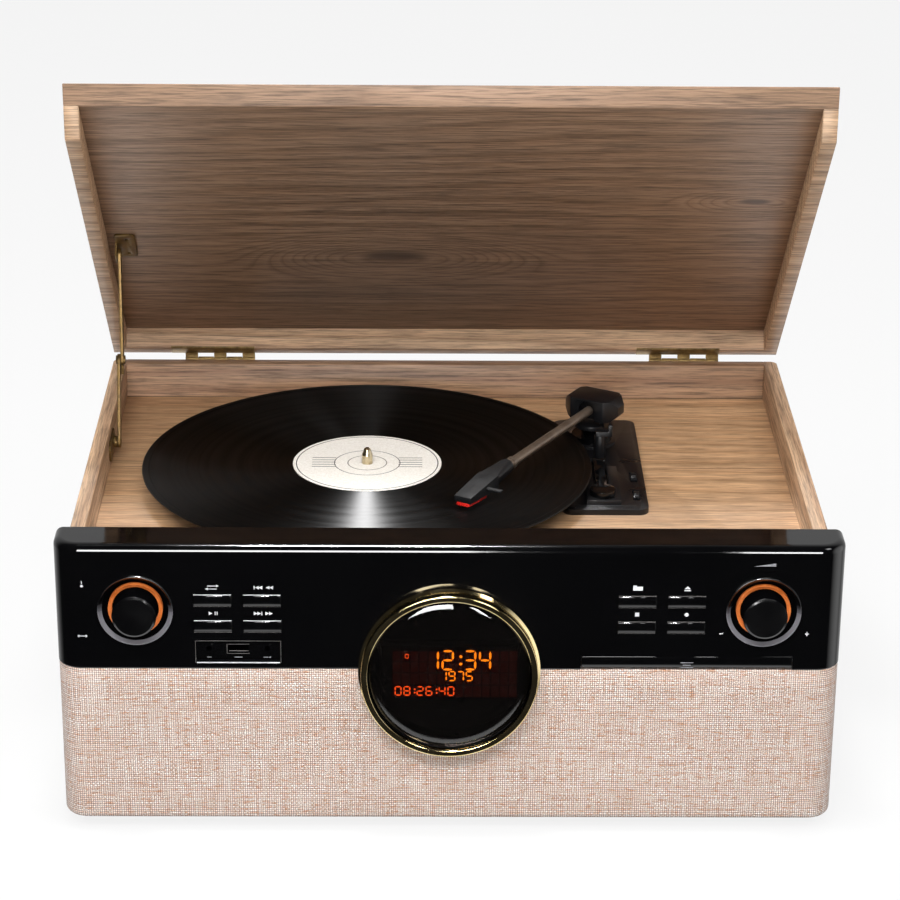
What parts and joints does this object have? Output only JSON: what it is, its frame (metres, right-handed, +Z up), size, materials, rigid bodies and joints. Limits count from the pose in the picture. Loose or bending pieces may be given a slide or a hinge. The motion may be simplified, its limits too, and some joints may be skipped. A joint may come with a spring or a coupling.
{
  "type": "stereo music centre",
  "caption": "Table-top stereo music centre with a lidded record player, disc drawer, gloss fascia with knobs and keys, round display and cloth speaker grille.",
  "frame": {"origin": "centre of the footprint on the surface the feet stand on", "axes": "+X to the right seen from the front, +Y to the back, +Z up; lid drawn open, tonearm on the record"},
  "size_m": [0.492, 0.3967, 0.4576],
  "materials": {
    "oak_laminate": "oak-look laminate over fibreboard, satin",
    "raw_board": "plain fibreboard",
    "gloss_black": "high-gloss moulding",
    "cloth": "woven speaker cloth, beige and pink threads",
    "black_plastic": "fine satin moulding",
    "gold_trim": "polished gold plating",
    "smoke_lens": "clear smoked window",
    "display_board": "display glass on its board",
    "light_ring": "lit orange light guide",
    "steel": "plain steel",
    "circuit_board": "circuit board with parts",
    "rubber": "soft rubber",
    "brass": "turned brass",
    "champagne_metal": "turned, champagne tone",
    "vinyl": "pressed vinyl with fine grooves",
    "paper": "printed paper",
    "bronze_tube": "bronze-toned tube",
    "red_plastic": "red translucent moulding",
    "antique_brass": "antique brass, dark in the recesses"
  },
  "bodies": {
    "cabinet": {"side_panels": "oak_laminate", "back_panel": "oak_laminate", "bottom_panel": "raw_board", "deck_panel": "oak_laminate", "front_board": "oak_laminate", "front_fascia": "gloss_black", "baffle_panel": "raw_board", "grille_cloth": "cloth", "speakers": "steel", "display_drum": "black_plastic", "display_bezel": "gold_trim", "display_lens": "smoke_lens", "display_module": "display_board", "knob_dishes": "gloss_black", "light_rings": "light_ring", "port_panel": "gloss_black", "disc_drive": "steel", "electronics": "circuit_board", "rear_connectors": "black_plastic", "cassette_deck": "black_plastic", "rubber_feet": "rubber", "cabinet_screws": "steel", "turntable_drive": "steel", "drive_belt": "rubber", "tonearm_base": "black_plastic", "arm_post": "black_plastic", "hinge_box_leaves": "antique_brass", "stay_base_bracket": "antique_brass"},
    "lid": {"lid_top": "oak_laminate", "lid_rails": "oak_laminate", "hinge_lid_leaves": "antique_brass", "stay_lid_bracket": "antique_brass"},
    "stay_lower": {"stay_lower_arm": "antique_brass"},
    "stay_upper": {"stay_upper_arm": "antique_brass"},
    "turntable": {"spindle": "champagne_metal", "platter": "black_plastic", "slipmat": "black_plastic", "vinyl_record": "vinyl", "record_label": "paper"},
    "pulley": {"motor_pulley": "brass"},
    "yoke": {"arm_yoke": "black_plastic"},
    "tonearm": {"counterweight": "black_plastic", "arm_tube": "bronze_tube", "headshell": "black_plastic", "stylus": "red_plastic"},
    "cue_lever": {"cue_lever": "black_plastic"},
    "speed_switch": {"speed_switch": "black_plastic"},
    "auto_stop_switch": {"auto_stop_switch": "black_plastic"},
    "source_knob": {"source_knob": "gloss_black"},
    "volume_knob": {"volume_knob": "gloss_black"},
    "disc_tray": {"disc_tray": "gloss_black"},
    "cassette_flap": {"cassette_flap": "black_plastic"},
    "key_repeat": {"key_repeat": "gloss_black"},
    "key_scan": {"key_scan": "gloss_black"},
    "key_back": {"key_back": "gloss_black"},
    "key_forward": {"key_forward": "gloss_black"},
    "key_folder": {"key_folder": "gloss_black"},
    "key_menu": {"key_menu": "gloss_black"},
    "key_eject": {"key_eject": "gloss_black"},
    "key_record": {"key_record": "gloss_black"}
  },
  "joints": [
    {"name": "lid_hinge", "type": "hinge", "parent": "cabinet", "child": "lid", "pos_m": [0, 0.185, 0.1877], "axis": [1, 0, 0], "range_deg": [0, 41.2]},
    {"name": "stay_lower_pivot", "type": "hinge", "parent": "cabinet", "child": "stay_lower", "pos_m": [-0.2254, 0.055, 0.174], "axis": [1, 0, 0], "range_deg": [-46.66, 0]},
    {"name": "stay_upper_pivot", "type": "hinge", "parent": "lid", "child": "stay_upper", "pos_m": [-0.22305, 0.08169, 0.30018], "axis": [1, 0, 0], "range_deg": [0, 49.52]},
    {"name": "platter_spin", "type": "hinge", "parent": "cabinet", "child": "turntable", "pos_m": [-0.054, 0.001, 0.163], "axis": [0, 0, 1], "continuous": true},
    {"name": "pulley_spin", "type": "hinge", "parent": "cabinet", "child": "pulley", "pos_m": [-0.132, 0.063, 0.145], "axis": [0, 0, 1], "continuous": true},
    {"name": "tonearm_swing", "type": "hinge", "parent": "cabinet", "child": "yoke", "pos_m": [0.101, 0.078, 0.191], "axis": [0, 0, 1], "range_deg": [-14, 36]},
    {"name": "tonearm_lift", "type": "hinge", "parent": "yoke", "child": "tonearm", "pos_m": [0.101, 0.078, 0.191], "axis": [-0.866, 0.5, 0], "range_deg": [0, 3.5]},
    {"name": "cue_lever_pivot", "type": "hinge", "parent": "cabinet", "child": "cue_lever", "pos_m": [0.103, 0.03, 0.1707], "axis": [-1, 0, 0], "range_deg": [0, 7]},
    {"name": "speed_slide", "type": "slide", "parent": "cabinet", "child": "speed_switch", "axis": [0, 1, 0], "range_m": [-0.005, 0.005]},
    {"name": "auto_stop_slide", "type": "slide", "parent": "cabinet", "child": "auto_stop_switch", "axis": [0, 1, 0], "range_m": [-0.0025, 0.0025]},
    {"name": "source_turn", "type": "hinge", "parent": "cabinet", "child": "source_knob", "pos_m": [-0.1955, -0.183, 0.155], "axis": [0, -1, 0], "continuous": true},
    {"name": "volume_turn", "type": "hinge", "parent": "cabinet", "child": "volume_knob", "pos_m": [0.1955, -0.183, 0.155], "axis": [0, -1, 0], "continuous": true},
    {"name": "tray_slide", "type": "slide", "parent": "cabinet", "child": "disc_tray", "axis": [0, -1, 0], "range_m": [0, 0.132]},
    {"name": "flap_hinge", "type": "hinge", "parent": "cabinet", "child": "cassette_flap", "pos_m": [0.238, 0.02, 0.09425], "axis": [0, 1, 0], "range_deg": [0, 80], "stiffness_Nm_per_rad": 0.004},
    {"name": "key_repeat_press", "type": "slide", "parent": "cabinet", "child": "key_repeat", "axis": [0, 1, 0], "range_m": [0, 0.001], "stiffness_N_per_m": 400},
    {"name": "key_scan_press", "type": "slide", "parent": "cabinet", "child": "key_scan", "axis": [0, 1, 0], "range_m": [0, 0.001], "stiffness_N_per_m": 400},
    {"name": "key_back_press", "type": "slide", "parent": "cabinet", "child": "key_back", "axis": [0, 1, 0], "range_m": [0, 0.001], "stiffness_N_per_m": 400},
    {"name": "key_forward_press", "type": "slide", "parent": "cabinet", "child": "key_forward", "axis": [0, 1, 0], "range_m": [0, 0.001], "stiffness_N_per_m": 400},
    {"name": "key_folder_press", "type": "slide", "parent": "cabinet", "child": "key_folder", "axis": [0, 1, 0], "range_m": [0, 0.001], "stiffness_N_per_m": 400},
    {"name": "key_menu_press", "type": "slide", "parent": "cabinet", "child": "key_menu", "axis": [0, 1, 0], "range_m": [0, 0.001], "stiffness_N_per_m": 400},
    {"name": "key_eject_press", "type": "slide", "parent": "cabinet", "child": "key_eject", "axis": [0, 1, 0], "range_m": [0, 0.001], "stiffness_N_per_m": 400},
    {"name": "key_record_press", "type": "slide", "parent": "cabinet", "child": "key_record", "axis": [0, 1, 0], "range_m": [0, 0.001], "stiffness_N_per_m": 400}
  ],
  "couplings": [
    {"joint": "stay_lower_pivot", "follows": "lid_hinge", "ratio": -1.1203},
    {"joint": "stay_upper_pivot", "follows": "lid_hinge", "ratio": 1.1897},
    {"joint": "pulley_spin", "follows": "platter_spin", "ratio": 7},
    {"joint": "cue_lever_pivot", "follows": "tonearm_lift", "ratio": 2}
  ]
}
